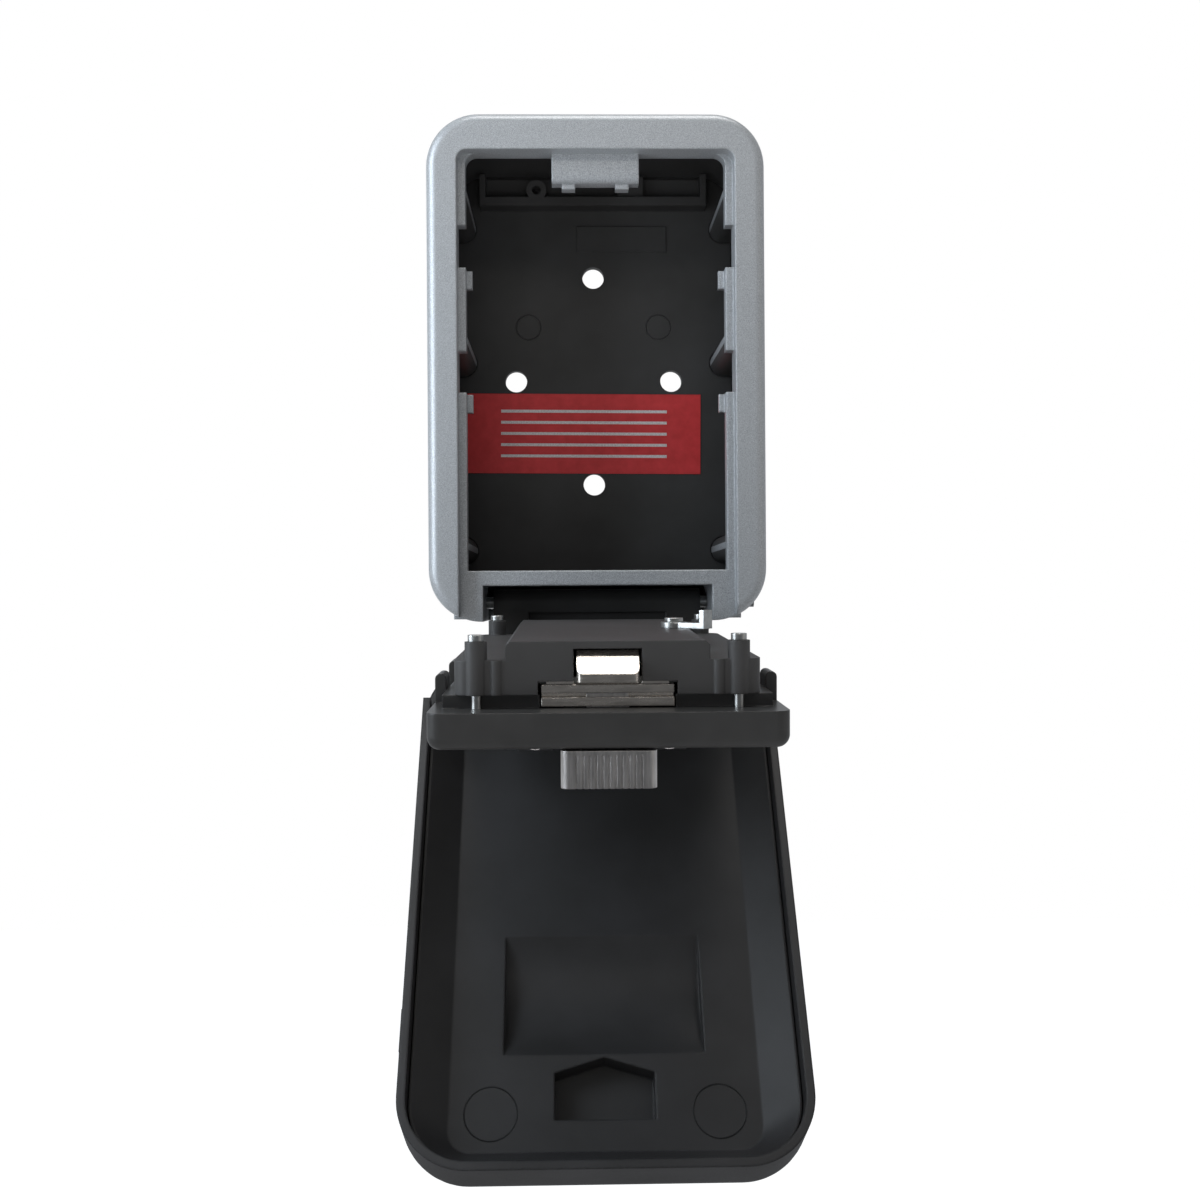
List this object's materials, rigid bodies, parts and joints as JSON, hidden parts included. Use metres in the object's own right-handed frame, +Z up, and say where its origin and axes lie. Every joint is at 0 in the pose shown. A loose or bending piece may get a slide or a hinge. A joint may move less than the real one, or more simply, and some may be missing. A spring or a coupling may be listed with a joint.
{
  "type": "wall key safe",
  "caption": "Wall-mounted key safe with a silver die-cast case, a drop-down door that carries a dial lock, and a black hinged weather cover.",
  "frame": {"origin": "on the wall, at the middle of the four fixing holes in the back plate", "axes": "+Z up the wall, +Y into the wall, -Y out towards the person who opens it, +X to their right"},
  "size_m": [0.0896, 0.1368, 0.2459],
  "materials": {
    "powder_coat": "fine speckled silver powder coat on zinc",
    "black_coat": "satin black coat on zinc",
    "black_moulding": "moulded black",
    "cover_moulding": "lightly textured moulded black",
    "red_label": "printed film",
    "steel": "zinc plated",
    "bright_steel": "bright plated",
    "bright_metal": "bright plated",
    "spring_steel": "plain spring steel",
    "dial_metal": "black coat on zinc",
    "brass_hub": "turned brass"
  },
  "bodies": {
    "case": {"case": "powder_coat", "back_plate": "black_moulding", "back_plate_screws": "steel", "label": "red_label", "hinge_pin": "steel"},
    "door": {"door": "black_coat", "lock_housing": "black_moulding", "housing_screws": "steel", "dial_shaft": "steel", "detent_spring": "spring_steel", "reset_pin": "steel", "cover_pin": "steel", "latch_springs": "spring_steel"},
    "latch": {"latch_plate": "bright_steel", "fence_plate": "steel", "release_lever": "bright_metal"},
    "reset_lever": {"reset_lever": "steel"},
    "cover": {"cover_shell": "cover_moulding", "cover_liner": "cover_moulding"},
    "dial_1": {"dial_1": "dial_metal", "dial_hub_1": "brass_hub"},
    "dial_2": {"dial_2": "dial_metal", "dial_hub_2": "brass_hub"},
    "dial_3": {"dial_3": "dial_metal", "dial_hub_3": "brass_hub"},
    "dial_4": {"dial_4": "dial_metal", "dial_hub_4": "brass_hub"}
  },
  "joints": [
    {"name": "door_hinge", "type": "hinge", "parent": "case", "child": "door", "pos_m": [0, -0.0263, -0.0613], "axis": [-1, 0, 0], "range_deg": [0, 92]},
    {"name": "cover_hinge", "type": "hinge", "parent": "door", "child": "cover", "pos_m": [0, -0.02492, -0.08071], "axis": [-1, 0, 0], "range_deg": [0, 51]},
    {"name": "latch_slide", "type": "slide", "parent": "door", "child": "latch", "axis": [0, 0.9994, 0.0349], "range_m": [0, 0.0026], "stiffness_N_per_m": 200, "springref_m": -0.004, "deforming": ["latch_springs"]},
    {"name": "reset_swing", "type": "hinge", "parent": "door", "child": "reset_lever", "pos_m": [0.0155, -0.08794, -0.06685], "axis": [0, 0.0349, -0.9994], "range_deg": [0, 30]},
    {"name": "dial_1_turn", "type": "hinge", "parent": "door", "child": "dial_1", "pos_m": [-0.0142, -0.10869, -0.08019], "axis": [1, 0, 0], "continuous": true},
    {"name": "dial_2_turn", "type": "hinge", "parent": "door", "child": "dial_2", "pos_m": [-0.0052, -0.10869, -0.08019], "axis": [1, 0, 0], "continuous": true},
    {"name": "dial_3_turn", "type": "hinge", "parent": "door", "child": "dial_3", "pos_m": [0.0038, -0.10869, -0.08019], "axis": [1, 0, 0], "continuous": true},
    {"name": "dial_4_turn", "type": "hinge", "parent": "door", "child": "dial_4", "pos_m": [0.0128, -0.10869, -0.08019], "axis": [1, 0, 0], "continuous": true}
  ]
}
